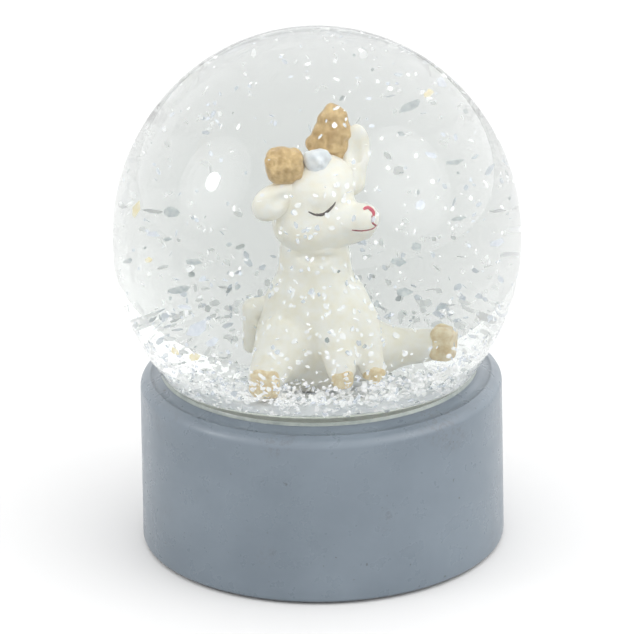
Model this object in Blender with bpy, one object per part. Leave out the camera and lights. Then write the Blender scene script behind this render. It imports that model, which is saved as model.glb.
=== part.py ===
"""Snow globe: a water-filled glass ball on a cast base, with a sitting fawn inside.

Metres, +Z up. The origin is the centre of the underside, and the front faces -Y. The base, the glass, the
plug and the fawn are glued together. The liquid turns about the ball's upright axis, carrying its flakes.
"""

import math

import bmesh
import bpy
from mathutils import Euler, Matrix, Vector

# Driving dimensions.
BALL_RADIUS = 0.0325
BALL_CENTRE = Vector((0.0, 0.0, 0.05195))
BASE_CENTRE = Vector((0.0003, 0.0, 0.0))  # the ball is glued in a little to one side
GLASS_WALL = 0.0020
NECK_OUTER_RADIUS = 0.0190
NECK_BOTTOM_Z = 0.0215
BASE_TOP_Z = 0.0289  # crest of the rim, which slopes in to the ball
BASE_TOP_RADIUS = 0.02903
BASE_FOOT_RADIUS = 0.02929
GROUND_Z = 0.0319
GAP = 0.0003  # clearance that touching pieces keep

# Base casting.
BASE_FOOT_Z = 0.0004
RIM_WIDTH = 0.0030  # the rounded outer edge, inwards and down
RIM_HEIGHT = 0.0026
SEAT_LIP_Z = 0.0286  # where the rim meets the ball
FOOT_FILLET = 0.0006
BASE_WEB_TOP_Z = 0.0187
BASE_WEB_UNDERSIDE_Z = 0.0150
BASE_CAVITY_RADIUS = 0.0235
CAVITY_CORNER = 0.0010
PAD_RADIUS = 0.0265
PAD_THICKNESS = 0.0015
PAD_EDGE = 0.0003
PLUG_POCKET_RADIUS = 0.0203
ADHESIVE_SPACE = 0.0012  # relief behind the lip of the seat
ADHESIVE_LOW_Z = 0.0257
RELIEF_TOP_Z = 0.0274  # below this height the seat stands back from the glass

# Rubber plug.
PLUG_FLANGE_RADIUS = 0.0194
PLUG_BOTTOM_Z = 0.0192
PLUG_TOP_Z = 0.0285
PLUG_HOLLOW_RADIUS = 0.0115
PLUG_HOLLOW_TOP_Z = 0.0255
PLUG_HOLLOW_TAPER = 0.0010
PLUG_CLEARANCE = 0.0004  # between the plug's stem and the inside of the neck
PLUG_LEAD_IN = 0.0007  # the chamfer that starts it into the neck, inwards and down
PLUG_LEAD_IN_HEIGHT = 0.0015
SEALANT_EDGE_HEIGHT = 0.0004
SEALANT_SHOULDER = 0.0002
SEALANT_SHOULDER_HEIGHT = 0.0022
SEALANT_HEIGHT = 0.0026

# Snowy ground and settled flakes.
MOUND_RADIUS = 0.0165
# Radius of the mound, and how far it has dropped there.
MOUND_SLOPE = ((0.0, 0.0), (0.007, 0.0), (0.012, 0.0002), (0.015, 0.0006), (MOUND_RADIUS, 0.0015))
BED_TOP_Z = 0.0302
BED_BOTTOM_Z = 0.0274
BED_INNER_RADIUS = MOUND_RADIUS + 0.0004
FAWN_PLACE = (0.0005, 0.0, 0.0)

# Round the axis, the liquid leaves this much room for the fawn: radius at each height.
FAWN_ROOM = (
    (0.0175, GROUND_Z + 0.0005),
    (0.0175, 0.0406),
    (0.0116, 0.0438),
    (0.0116, 0.0625),
    (0.0076, 0.0655),
    (0.0062, 0.0688),
    (0.0, 0.0706),
)

# The fawn's lumps: centre and radii in mm, then for some a tilt in degrees about X, Y and Z.
HEAD = (
    (-0.4, -1.0, 57.0, 4.8, 4.9, 5.5),
    (-1.0, -1.6, 53.6, 4.6, 4.5, 3.5),
    (0.9, -1.2, 59.0, 3.3, 3.9, 3.7),
    (2.6, -3.3, 54.5, 3.7, 3.0, 2.6, (0, 12, -25)),
    (4.9, -4.3, 54.2, 2.4, 2.1, 1.7, (0, 10, -25)),
)
TORSO = (
    (-1.2, 0.6, 39.0, 6.7, 6.3, 6.7),
    (-0.6, -0.4, 43.1, 5.7, 5.3, 5.3),
    (1.2, -2.4, 40.7, 4.7, 4.3, 5.3),
)
HOOVES = {
    "hind_hoof_near": (-7.3, -9.8, 34.3, 2.1, 1.6, 2.1),
    "hind_hoof_far": (13.3, 3.1, 36.4, 1.5, 2.2, 2.2),
    "fore_hoof_near": (2.3, -8.5, 34.3, 1.5, 1.5, 1.6),
    "fore_hoof_far": (6.4, -6.3, 34.1, 1.4, 1.4, 1.5),
}
HORN_FAR = (
    (0.9, 2.5, 63.5, 2.4, 2.2, 3.5, (0, 8, 0)),
    (1.5, 2.4, 65.9, 1.7, 1.6, 1.8),
    (-0.4, 2.5, 62.7, 1.4, 1.6, 1.3),
)
HORN_NEAR = ((-4.6, -3.0, 62.4, 2.4, 2.2, 2.3), (-4.3, -2.9, 60.8, 2.1, 2.0, 1.6))
EAR_NEAR = ((-6.4, -4.3, 57.4, 2.2, 1.7, 2.4, (0, 25, 20)), (-5.1, -3.7, 58.0, 1.7, 1.5, 1.8))
FORELOCK = ((-0.7, -1.2, 62.1, 1.5, 1.5, 1.3),)

# Its limbs: both ends in mm, then the radius at each.
NECK = ((-0.6, -0.2, 45.1), (-0.7, -0.6, 51.3), 4.7, 4.0)
LEGS = (
    ((-4.7, -1.2, 37.6), (-7.3, -8.4, 34.4), 4.3, 1.7),
    ((3.0, 2.4, 36.6), (12.1, 3.1, 36.3), 3.3, 1.8),
    ((1.0, -3.9, 42.1), (2.2, -7.7, 35.6), 2.6, 1.3),
    ((4.1, -2.2, 42.1), (6.2, -5.9, 35.4), 2.6, 1.2),
)
TAIL = ((-8.4, 1.8, 36.6), (-7.5, 2.2, 41.5), 1.0, 1.6)
EAR_FAR = ((4.3, 3.3, 58.8), (5.1, 3.7, 64.1), 1.6, 0.9)

CUTTER_SWELL = GAP + 0.0001
FINE_VOXEL = 0.00045
SEGMENTS = 48
ARC_STEP = math.radians(9)
MM = 0.001


def clear_scene():
    for obj in list(bpy.data.objects):
        bpy.data.objects.remove(obj, do_unlink=True)


def material(name, colour, roughness, metallic=0.0, alpha=1.0):
    mat = bpy.data.materials.new(name)
    mat.use_nodes = True
    shader = mat.node_tree.nodes["Principled BSDF"]
    shader.inputs["Base Color"].default_value = (*colour, 1.0)
    shader.inputs["Roughness"].default_value = roughness
    shader.inputs["Metallic"].default_value = metallic
    shader.inputs["Alpha"].default_value = alpha
    return mat


def add_object(name, mesh, mat, location=(0.0, 0.0, 0.0)):
    obj = bpy.data.objects.new(name, mesh)
    obj.location = location
    mesh.materials.append(mat)
    bpy.context.scene.collection.objects.link(obj)
    return obj


# Turned pieces -------------------------------------------------------------------------------


def height_on_sphere(radius, r):
    """Height below the ball's centre at which a sphere about it has the radius r."""
    return BALL_CENTRE.z - math.sqrt(radius * radius - r * r)


def radius_on_sphere(radius, z):
    return math.sqrt(radius * radius - (z - BALL_CENTRE.z) ** 2)


def ball_arc(radius, start_z, end_z):
    """Points (r, z) on a sphere about the ball's centre, from one height to another."""
    first = math.asin(max(-1.0, min(1.0, (start_z - BALL_CENTRE.z) / radius)))
    last = math.asin(max(-1.0, min(1.0, (end_z - BALL_CENTRE.z) / radius)))
    steps = max(2, round(abs(last - first) / ARC_STEP))
    angles = [first + (last - first) * i / steps for i in range(steps + 1)]
    return [(max(0.0, radius * math.cos(a)), BALL_CENTRE.z + radius * math.sin(a)) for a in angles]


def fillet(centre_r, centre_z, width, height, start_deg, end_deg, steps=5):
    angles = [math.radians(start_deg + (end_deg - start_deg) * i / steps) for i in range(steps + 1)]
    return [(centre_r + width * math.cos(a), centre_z + height * math.sin(a)) for a in angles]


def aside(outline, x):
    """The same outline, turned about a line that stands x to the side."""
    return [(r, z, x) for r, z in outline]


def turned(name, outline, mat, centre):
    """A closed outline of (r, z) points turned about the upright line through centre.

    A point may have a third value, which shifts its ring along X.
    """
    bm = bmesh.new()
    rings = []
    for r, z, *shift in outline:
        x = shift[0] if shift else 0.0
        if r < 1e-6:
            rings.append([bm.verts.new((x, 0.0, z))])
            continue
        turns = [2 * math.pi * i / SEGMENTS for i in range(SEGMENTS)]
        rings.append([bm.verts.new((x + r * math.cos(t), r * math.sin(t), z)) for t in turns])
    for upper, lower in zip(rings, rings[1:] + rings[:1]):
        if len(upper) == len(lower) == 1:
            continue
        for i in range(SEGMENTS):
            j = (i + 1) % SEGMENTS
            corners = {upper[i % len(upper)]: None, upper[j % len(upper)]: None}
            corners.update({lower[j % len(lower)]: None, lower[i % len(lower)]: None})
            bm.faces.new(corners)
    bmesh.ops.recalc_face_normals(bm, faces=bm.faces)
    mesh = bpy.data.meshes.new(name)
    bm.to_mesh(mesh)
    bm.free()
    mesh.shade_smooth()
    mesh.set_sharp_from_angle(angle=math.radians(35))
    return add_object(name, mesh, mat, location=(centre.x, centre.y, 0.0))


def base_casting(mat):
    """Cast drum with a rounded rim, a seat for the ball, a pocket for the plug and a hollow underside."""
    seat_radius = BALL_RADIUS + GAP
    relief_radius = BALL_RADIUS + ADHESIVE_SPACE
    pocket_z = height_on_sphere(relief_radius, PLUG_POCKET_RADIUS)
    ledge_z = PAD_THICKNESS + GAP
    foot_r = BASE_FOOT_RADIUS - FOOT_FILLET
    rim_r = BASE_TOP_RADIUS - RIM_WIDTH

    outside = fillet(foot_r, BASE_FOOT_Z + FOOT_FILLET, FOOT_FILLET, FOOT_FILLET, -90, 0, steps=3)
    outside += fillet(rim_r, BASE_TOP_Z - RIM_HEIGHT, RIM_WIDTH, RIM_HEIGHT, 0, 90)
    seat = ball_arc(seat_radius, SEAT_LIP_Z, RELIEF_TOP_Z) + ball_arc(relief_radius, RELIEF_TOP_Z, pocket_z)
    seat += [(PLUG_POCKET_RADIUS, BASE_WEB_TOP_Z), (0.0, BASE_WEB_TOP_Z)]
    underside = [(0.0, BASE_WEB_UNDERSIDE_Z), (BASE_CAVITY_RADIUS - CAVITY_CORNER, BASE_WEB_UNDERSIDE_Z)]
    underside += [(BASE_CAVITY_RADIUS, BASE_WEB_UNDERSIDE_Z - CAVITY_CORNER), (BASE_CAVITY_RADIUS, ledge_z)]
    underside += [(PAD_RADIUS + GAP, ledge_z), (PAD_RADIUS + GAP, BASE_FOOT_Z)]
    outline = outside + aside(seat, BALL_CENTRE.x - BASE_CENTRE.x) + underside
    return turned("base_casting", outline, mat, BASE_CENTRE)


def base_pad(mat):
    """Soft disc let into the underside, standing just proud of it."""
    outline = [(0.0, 0.0), (PAD_RADIUS - PAD_EDGE, 0.0), (PAD_RADIUS, PAD_EDGE)]
    outline += [(PAD_RADIUS, PAD_THICKNESS), (0.0, PAD_THICKNESS)]
    return turned("base_pad", outline, mat, BASE_CENTRE)


def seat_adhesive(mat):
    """Ring of set adhesive behind the lip, between the ball and the seat."""
    inner = BALL_RADIUS + GAP
    outer = BALL_RADIUS + ADHESIVE_SPACE - GAP
    high = RELIEF_TOP_Z - 2 * GAP
    outline = ball_arc(outer, ADHESIVE_LOW_Z, high) + ball_arc(inner, high, ADHESIVE_LOW_Z)
    return turned("seat_adhesive", outline, mat, BALL_CENTRE)


def glass_globe(mat):
    """Blown ball with an even wall and a short neck at the bottom."""
    inner_radius = BALL_RADIUS - GLASS_WALL
    neck_inner = NECK_OUTER_RADIUS - GLASS_WALL
    shoulder_z = height_on_sphere(BALL_RADIUS, NECK_OUTER_RADIUS)
    outline = ball_arc(BALL_RADIUS, BALL_CENTRE.z + BALL_RADIUS, shoulder_z)
    outline += [(NECK_OUTER_RADIUS, NECK_BOTTOM_Z), (neck_inner, NECK_BOTTOM_Z)]
    outline += ball_arc(inner_radius, height_on_sphere(inner_radius, neck_inner), BALL_CENTRE.z + inner_radius)
    return turned("glass_globe", outline, mat, BALL_CENTRE)


def rubber_plug(mat):
    """Flanged plug pushed up into the neck, hollow underneath."""
    stem = NECK_OUTER_RADIUS - GLASS_WALL - PLUG_CLEARANCE
    flange_top = NECK_BOTTOM_Z - GAP
    outline = [(0.0, PLUG_TOP_Z), (stem - PLUG_LEAD_IN, PLUG_TOP_Z)]
    outline += [(stem, PLUG_TOP_Z - PLUG_LEAD_IN_HEIGHT), (stem, flange_top), (PLUG_FLANGE_RADIUS, flange_top)]
    outline += [(PLUG_FLANGE_RADIUS, PLUG_BOTTOM_Z), (PLUG_HOLLOW_RADIUS, PLUG_BOTTOM_Z)]
    outline += [(PLUG_HOLLOW_RADIUS - PLUG_HOLLOW_TAPER, PLUG_HOLLOW_TOP_Z), (0.0, PLUG_HOLLOW_TOP_Z)]
    return turned("rubber_plug", outline, mat, BALL_CENTRE)


def plug_sealant(mat):
    """Bead of sealant round the outside of the neck, down on the plug's flange."""
    inner = NECK_OUTER_RADIUS + GAP
    outer = PLUG_POCKET_RADIUS - GAP
    low = NECK_BOTTOM_Z
    outline = [(outer, low + SEALANT_EDGE_HEIGHT), (outer - SEALANT_SHOULDER, low + SEALANT_SHOULDER_HEIGHT)]
    outline += [(inner, low + SEALANT_HEIGHT), (inner, low)]
    return turned("plug_sealant", outline, mat, BALL_CENTRE)


def snow_mound(mat):
    """Low domed disc of resin glued on the plug: the ground that the fawn sits on."""
    outline = [(r, GROUND_Z - drop) for r, drop in MOUND_SLOPE]
    outline += [(MOUND_RADIUS, PLUG_TOP_Z + GAP), (0.0, PLUG_TOP_Z + GAP)]
    return turned("snow_mound", outline, mat, BALL_CENTRE)


def settled_flakes(mat):
    """The flakes that lie round the mound and fill the bottom of the ball."""
    outer = BALL_RADIUS - GLASS_WALL - GAP
    outline = ball_arc(outer, BED_BOTTOM_Z, BED_TOP_Z)
    outline += [(BED_INNER_RADIUS, BED_TOP_Z), (BED_INNER_RADIUS, BED_BOTTOM_Z)]
    return turned("settled_flakes", outline, mat, BALL_CENTRE)


def liquid(mat):
    """The filling, with a turned hollow that lets the fawn stay still while the liquid swirls."""
    radius = BALL_RADIUS - GLASS_WALL - GAP
    outline = ball_arc(radius, BALL_CENTRE.z + radius, FAWN_ROOM[0][1]) + list(FAWN_ROOM)
    return turned("liquid", outline, mat, BALL_CENTRE)


# The fawn, modelled from rounded lumps ---------------------------------------------------------


def lump(x, y, z, rx, ry, rz, tilt=(0, 0, 0)):
    """An ellipsoid: centre and radii in mm, tilt in degrees about X, Y and Z."""
    place = Matrix.Translation(Vector((x, y, z)) * MM)
    turn = Euler([math.radians(a) for a in tilt]).to_matrix().to_4x4()
    return place @ turn @ Matrix.Diagonal((rx * MM, ry * MM, rz * MM, 1.0))


def limb(start, end, start_radius, end_radius, count=6):
    """A row of overlapping balls from one point to another, all in mm."""
    balls = []
    for i in range(count):
        t = i / (count - 1)
        centre = Vector(start).lerp(Vector(end), t)
        r = start_radius + (end_radius - start_radius) * t
        balls.append(lump(*centre, r, r, r))
    return balls


def rounded(name, shapes, mat, voxel, keep, clear_of=()):
    """Lumps run together into one smooth solid, cut back to stay clear of its neighbours."""
    bm = bmesh.new()
    for matrix in shapes:
        bmesh.ops.create_icosphere(bm, subdivisions=3, radius=1.0, matrix=matrix)
    mesh = bpy.data.meshes.new(name)
    bm.to_mesh(mesh)
    bm.free()
    obj = add_object(name, mesh, mat, location=FAWN_PLACE)
    smooth_together(obj, voxel, keep)
    for other in clear_of:
        cut = obj.modifiers.new("clear_of_" + other.name, "BOOLEAN")
        cut.operation = "DIFFERENCE"
        cut.object = cutter_round(other)
        cut.use_hole_tolerant = True
    return obj


def smooth_together(obj, voxel, keep):
    remesh = obj.modifiers.new("run_together", "REMESH")
    remesh.mode = "VOXEL"
    remesh.voxel_size = voxel
    remesh.use_smooth_shade = True
    smooth = obj.modifiers.new("soften", "SMOOTH")
    smooth.factor = 0.5
    smooth.iterations = 5
    thin = obj.modifiers.new("thin_out", "DECIMATE")
    thin.ratio = keep


def cutter_round(obj):
    """A hidden copy of a modelled piece, swollen by the clearance."""
    name = obj.name + "_cutter"
    if name in bpy.data.objects:
        return bpy.data.objects[name]
    cutter = bpy.data.objects.new(name, obj.data)
    cutter.location = obj.location
    bpy.context.scene.collection.objects.link(cutter)
    shape = {m.type: m for m in obj.modifiers if m.type in ("REMESH", "DECIMATE")}
    smooth_together(cutter, shape["REMESH"].voxel_size, shape["DECIMATE"].ratio)
    swell = cutter.modifiers.new("swell", "DISPLACE")
    swell.strength = CUTTER_SWELL
    swell.mid_level = 0.0
    cutter.hide_render = True
    cutter.display_type = "WIRE"
    return cutter


def lumps(rows):
    return [lump(*row) for row in rows]


def fawn(cream, gold, white):
    head = rounded("fawn_head", lumps(HEAD), cream, 0.00055, 0.16)
    hooves = [rounded(name, [lump(*row)], gold, FINE_VOXEL, 0.30) for name, row in HOOVES.items()]
    body = lumps(TORSO) + limb(*NECK)
    for leg in LEGS:
        body += limb(*leg)
    torso = rounded("fawn_body", body, cream, 0.0006, 0.13, clear_of=[head, *hooves])
    rounded("fawn_tail", limb(*TAIL), cream, 0.0005, 0.2, clear_of=[torso])

    horn_far = rounded("horn_far", lumps(HORN_FAR), gold, FINE_VOXEL, 0.16, clear_of=[head])
    horn_near = rounded("horn_near", lumps(HORN_NEAR), gold, FINE_VOXEL, 0.18, clear_of=[head])
    rounded("ear_near", lumps(EAR_NEAR), cream, FINE_VOXEL, 0.18, clear_of=[head, horn_near])
    rounded("ear_far", limb(*EAR_FAR), cream, FINE_VOXEL, 0.18, clear_of=[head, horn_far])
    rounded("forelock", lumps(FORELOCK), white, 0.0004, 0.22, clear_of=[head, horn_near, horn_far])


def main():
    clear_scene()
    painted_base = material("painted_base", (0.235, 0.275, 0.305), 0.42)
    foam = material("foam", (0.75, 0.75, 0.73), 0.9)
    adhesive = material("adhesive", (0.30, 0.30, 0.22), 0.3)
    glass = material("glass", (0.96, 0.98, 0.98), 0.02, alpha=0.2)
    rubber = material("rubber", (0.62, 0.62, 0.60), 0.8)
    snow = material("snow", (0.90, 0.91, 0.92), 0.55)
    water = material("water", (0.93, 0.96, 0.97), 0.02, alpha=0.15)
    cream = material("cream_paint", (0.84, 0.80, 0.69), 0.45)
    gold = material("gold_paint", (0.66, 0.46, 0.20), 0.4, metallic=0.35)
    white = material("white_paint", (0.80, 0.84, 0.90), 0.5)

    base_casting(painted_base)
    base_pad(foam)
    seat_adhesive(adhesive)
    glass_globe(glass)
    rubber_plug(rubber)
    plug_sealant(adhesive)
    snow_mound(snow)
    settled_flakes(snow)
    liquid(water)
    fawn(cream, gold, white)


main()
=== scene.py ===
"""The finished look of the snow globe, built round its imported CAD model.

Metres, +Z up, front towards -Y. The fawn is sculpted in millimetres as a signed distance field, and is
turned into meshes with OpenVDB.
"""

import math

import bmesh
import bpy
import numpy as np
import openvdb
from mathutils import Euler, Matrix, Vector
from mathutils.bvhtree import BVHTree


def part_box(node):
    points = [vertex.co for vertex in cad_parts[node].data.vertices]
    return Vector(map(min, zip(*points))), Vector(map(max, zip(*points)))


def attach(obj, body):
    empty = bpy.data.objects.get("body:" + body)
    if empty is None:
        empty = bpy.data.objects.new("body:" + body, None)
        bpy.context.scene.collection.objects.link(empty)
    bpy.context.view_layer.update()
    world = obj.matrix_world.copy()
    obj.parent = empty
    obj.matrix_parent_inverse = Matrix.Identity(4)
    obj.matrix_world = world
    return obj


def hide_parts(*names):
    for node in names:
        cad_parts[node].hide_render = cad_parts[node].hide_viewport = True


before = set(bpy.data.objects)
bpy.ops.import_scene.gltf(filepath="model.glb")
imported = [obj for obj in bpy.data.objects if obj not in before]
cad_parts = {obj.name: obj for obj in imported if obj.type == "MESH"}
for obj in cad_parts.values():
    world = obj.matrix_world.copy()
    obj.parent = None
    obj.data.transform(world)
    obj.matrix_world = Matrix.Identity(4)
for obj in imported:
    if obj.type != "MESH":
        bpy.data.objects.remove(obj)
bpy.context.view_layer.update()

MM = 0.001

# Places and sizes read from the frame.
GLASS_LOW, GLASS_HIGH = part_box("glass_globe")
BASE_LOW, BASE_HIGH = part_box("base_casting")
BED_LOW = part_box("settled_flakes")[0]
BALL_RADIUS = (GLASS_HIGH.x - GLASS_LOW.x) / 2
BALL_STRETCH = 1.0385  # the blown ball is this much taller than it is wide
BALL_CENTRE = Vector(((GLASS_HIGH.x + GLASS_LOW.x) / 2, 0.0, GLASS_HIGH.z - BALL_RADIUS * BALL_STRETCH))
BASE_CENTRE = Vector(((BASE_HIGH.x + BASE_LOW.x) / 2, 0.0, 0.0))

# The glass and the liquid
GLASS_WALL = 2.0 * MM
WATER_RADIUS = BALL_RADIUS - GLASS_WALL
WATER_GAP = 0.05 * MM
NECK_RADIUS = 19.0 * MM
NECK_EDGE_OUT, NECK_EDGE_IN = 0.4 * MM, 0.3 * MM  # the bevels at the neck's cut end
IOR_GLASS = 1.5
IOR_WATER = 1.333

# The base: its outside, the seat for the ball, the pocket for the neck, and the hollow underneath
FOOT_EDGE = 0.6 * MM
SIDE_TAPER = 0.26 * MM
RIM_WIDTH, RIM_HEIGHT = 2.4 * MM, 1.8 * MM
LIP_RISE = 0.9 * MM  # how far the rim climbs from its shoulder to the ball
RIDGE_IN, RIDGE_UP, RIDGE_RADIUS = 1.75 * MM, 1.32 * MM, 0.5 * MM
SEAT_GAP = 0.08 * MM
SEAT_LOW_Z = 24.6 * MM
POCKET_RADIUS, POCKET_HIGH_Z, POCKET_LOW_Z = 20.3 * MM, 24.0 * MM, 18.7 * MM
HOLLOW_RADIUS, HOLLOW_TOP_Z, HOLLOW_EDGE = 23.5 * MM, 15.0 * MM, 1.0 * MM
PAD_RECESS_RADIUS, PAD_RECESS_Z = 26.8 * MM, 1.8 * MM

# The line of adhesive between ball and base
LINE_LOW_Z = 26.8 * MM
LINE_RISE = 0.42 * MM
LINE_INSIDE, LINE_OUTSIDE = 0.01 * MM, 0.06 * MM  # its two sides, measured from the glass

# The figure
FAWN_SHIFT = Vector((0.5, 0.0, 0.0))  # mm
STROKE_LIFT = 0.06  # mm, how far painted lines and caught flakes stand off the skin

# The studio
SKY_LOW, SKY_HIGH = 1.55, 1.9  # radiance at the horizon and overhead
SKY_LEFT, SKY_RIGHT = 0.85, 1.25  # the share of it that comes from each side
FLOOR_REACH = 6.0
FLOOR_TONE = 0.565
LEFT, RIGHT = Vector((-0.826, -0.236, 0.513)), Vector((0.763, -0.326, 0.560))
# name, direction, distance, radius, radiance
SOFTBOXES = [
    ("left_outer", LEFT, 1.20, 0.48, 0.7),
    ("left_middle", LEFT, 1.19, 0.38, 0.4),
    ("left_inner", LEFT, 1.18, 0.27, 0.5),
    ("left_lamp", LEFT, 1.17, 0.09, 9.0),
    ("right_outer", RIGHT, 1.20, 0.60, 0.8),
    ("right_middle", RIGHT, 1.19, 0.50, 0.5),
    ("right_inner", RIGHT, 1.18, 0.36, 0.4),
]

CAMERA_DISTANCE = 0.7143
CAMERA_ELEVATION = math.radians(20.8)
CAMERA_ROLL = math.radians(-0.96)
CAMERA_LENS = 254.6
CAMERA_ORBIT = Vector((0.0005, 0.0, 0.04286))  # the point that the distance is measured from
CAMERA_AIM = Vector((-0.0002, 0.0, 0.03714))


# Helpers for meshes ----------------------------------------------------------------------------


def add_piece(name, mesh, mats, body, replaced=()):
    """Puts a mesh in the scene as a finished piece that rides on a body."""
    obj = bpy.data.objects.new(name, mesh)
    bpy.context.scene.collection.objects.link(obj)
    for mat in mats:
        mesh.materials.append(mat)
    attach(obj, body)
    if replaced:
        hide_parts(*replaced)
    return obj


def arc(radius, start_z, end_z, steps):
    """Points (r, z) on the ball's curve at the given radius, from one height to another."""
    tall = radius * BALL_STRETCH
    first = math.asin(max(-1.0, min(1.0, (start_z - BALL_CENTRE.z) / tall)))
    last = math.asin(max(-1.0, min(1.0, (end_z - BALL_CENTRE.z) / tall)))
    angles = [first + (last - first) * i / steps for i in range(steps + 1)]
    return [(max(0.0, radius * math.cos(a)), BALL_CENTRE.z + tall * math.sin(a)) for a in angles]


def fillet(centre_r, centre_z, width, height, start_deg, end_deg, steps):
    """Points (r, z) on part of an ellipse; 0 degrees points outwards, 90 points up."""
    angles = [math.radians(start_deg + (end_deg - start_deg) * i / steps) for i in range(steps + 1)]
    return [(centre_r + width * math.cos(a), centre_z + height * math.sin(a)) for a in angles]


def height_on_ball(radius, r):
    """The lower of the two heights where the ball's curve is r from the middle."""
    return BALL_CENTRE.z - BALL_STRETCH * math.sqrt(radius * radius - r * r)


def reach_on_ball(radius, z):
    """How far from the middle the ball's curve is at a height."""
    return math.sqrt(radius * radius - ((z - BALL_CENTRE.z) / BALL_STRETCH) ** 2)


def turned_mesh(name, outline, centre, segments=256, slots=None, sharp_deg=40):
    """A closed outline of (r, z) points turned about an upright line.

    A third number in a point shifts its ring along X. slots gives each strip's material.
    """
    bm = bmesh.new()
    rings = []
    for r, z, *shift in outline:
        x = centre.x + (shift[0] if shift else 0.0)
        if r < 1e-6:
            rings.append([bm.verts.new((x, centre.y, z))])
            continue
        turns = [2 * math.pi * i / segments for i in range(segments)]
        rings.append([bm.verts.new((x + r * math.cos(t), centre.y + r * math.sin(t), z)) for t in turns])
    for k, (upper, lower) in enumerate(zip(rings, rings[1:] + rings[:1])):
        if len(upper) == len(lower) == 1:
            continue
        for i in range(segments):
            j = (i + 1) % segments
            corners = {upper[i % len(upper)]: None, upper[j % len(upper)]: None}
            corners.update({lower[j % len(lower)]: None, lower[i % len(lower)]: None})
            face = bm.faces.new(corners)
            face.material_index = slots[k] if slots else 0
    bmesh.ops.recalc_face_normals(bm, faces=bm.faces)
    mesh = bpy.data.meshes.new(name)
    bm.to_mesh(mesh)
    bm.free()
    mesh.shade_smooth()
    mesh.set_sharp_from_angle(angle=math.radians(sharp_deg))
    return mesh


# Materials ------------------------------------------------------------------------------------

NONE, WHOLE = (0, 0, 0), (1, 1, 1)  # the two ends of a mask


def new_material(name, **values):
    """A Principled material, with plain numbers set on its sockets."""
    mat = bpy.data.materials.new(name)
    mat.use_nodes = True
    shader = mat.node_tree.nodes["Principled BSDF"]
    for key, value in values.items():
        shader.inputs[key.replace("_", " ")].default_value = value
    return mat, mat.node_tree.nodes, mat.node_tree.links, shader


def noise(nodes, links, scale, detail=3.0, roughness=0.55, seed=0.0):
    """Noise over the object's own space, scale in features per metre."""
    coords = nodes.new("ShaderNodeTexCoord")
    place = nodes.new("ShaderNodeMapping")
    place.inputs["Location"].default_value = (seed, seed * 0.7, seed * 1.3)
    texture = nodes.new("ShaderNodeTexNoise")
    texture.inputs["Scale"].default_value = scale
    texture.inputs["Detail"].default_value = detail
    texture.inputs["Roughness"].default_value = roughness
    links.new(coords.outputs["Object"], place.inputs["Vector"])
    links.new(place.outputs["Vector"], texture.inputs["Vector"])
    return texture.outputs["Fac"]


def ramp(nodes, links, fac, stops):
    node = nodes.new("ShaderNodeValToRGB")
    elements = node.color_ramp.elements
    while len(elements) < len(stops):
        elements.new(0.5)
    for element, (position, colour) in zip(elements, stops):
        element.position = position
        element.color = (*colour, 1.0) if len(colour) == 3 else colour
    links.new(fac, node.inputs["Fac"])
    return node.outputs["Color"]


def mix(nodes, links, fac, first, second, blend="MIX"):
    node = nodes.new("ShaderNodeMix")
    node.data_type = "RGBA"
    node.blend_type = blend
    for socket, value in (("Factor", fac), ("A", first), ("B", second)):
        target = [s for s in node.inputs if s.name == socket and s.enabled][0]
        if isinstance(value, (int, float)):
            target.default_value = value
        elif isinstance(value, tuple):
            target.default_value = (*value, 1.0)
        else:
            links.new(value, target)
    return [s for s in node.outputs if s.enabled][0]


def bump(nodes, links, shader, height, strength, distance):
    node = nodes.new("ShaderNodeBump")
    node.inputs["Strength"].default_value = strength
    node.inputs["Distance"].default_value = distance
    links.new(height, node.inputs["Height"])
    links.new(node.outputs["Normal"], shader.inputs["Normal"])


def srgb(r, g, b):
    """A colour given as 0 to 255 display values."""
    linear = []
    for v in (r, g, b):
        v /= 255
        linear.append(v / 12.92 if v <= 0.04045 else ((v + 0.055) / 1.055) ** 2.4)
    return tuple(linear)


def base_paint():
    """Satin grey-blue with a faint cloud in its tone, specks, and scuffs."""
    mat, nodes, links, shader = new_material("base_paint", Roughness=0.36)
    tones = [(0.35, srgb(95, 105, 114)), (0.65, srgb(103, 113, 122))]
    cloud = ramp(nodes, links, noise(nodes, links, 60, 4), tones)
    specks = ramp(nodes, links, noise(nodes, links, 900, 2, 0.5, 3.0), [(0.24, WHOLE), (0.27, NONE)])
    colour = mix(nodes, links, specks, cloud, srgb(76, 81, 86))
    # scuffs: fine dark grit, only inside a few soft patches
    grit = ramp(nodes, links, noise(nodes, links, 1300, 5, 0.7, 9.0), [(0.42, WHOLE), (0.50, NONE)])
    patches = ramp(nodes, links, noise(nodes, links, 70, 2, 0.5, 12.0), [(0.62, NONE), (0.72, (0.5,) * 3)])
    scuffs = mix(nodes, links, 1.0, grit, patches, "MULTIPLY")
    colour = mix(nodes, links, scuffs, colour, srgb(84, 86, 90))
    links.new(colour, shader.inputs["Base Color"])
    finish = [(0.3, (0.24,) * 3), (0.7, (0.36,) * 3)]
    rough = ramp(nodes, links, noise(nodes, links, 250, 4, 0.6, 5.0), finish)
    links.new(rough, shader.inputs["Roughness"])
    bump(nodes, links, shader, noise(nodes, links, 1400, 3, 0.6, 8.0), 0.15, 0.00006)
    return mat


def glass_outside():
    """The dry side of the glass."""
    return new_material(
        "clear_glass", Base_Color=(1, 1, 1, 1), Roughness=0.0, IOR=IOR_GLASS, Transmission_Weight=1.0
    )[0]


def glass_inside():
    """The wet side of the glass: only the step from glass to water bends and mirrors the light."""
    step = IOR_GLASS / IOR_WATER
    return new_material(
        "clear_glass_wet", Base_Color=(1, 1, 1, 1), Roughness=0.0, IOR=step, Transmission_Weight=1.0
    )[0]


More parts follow.
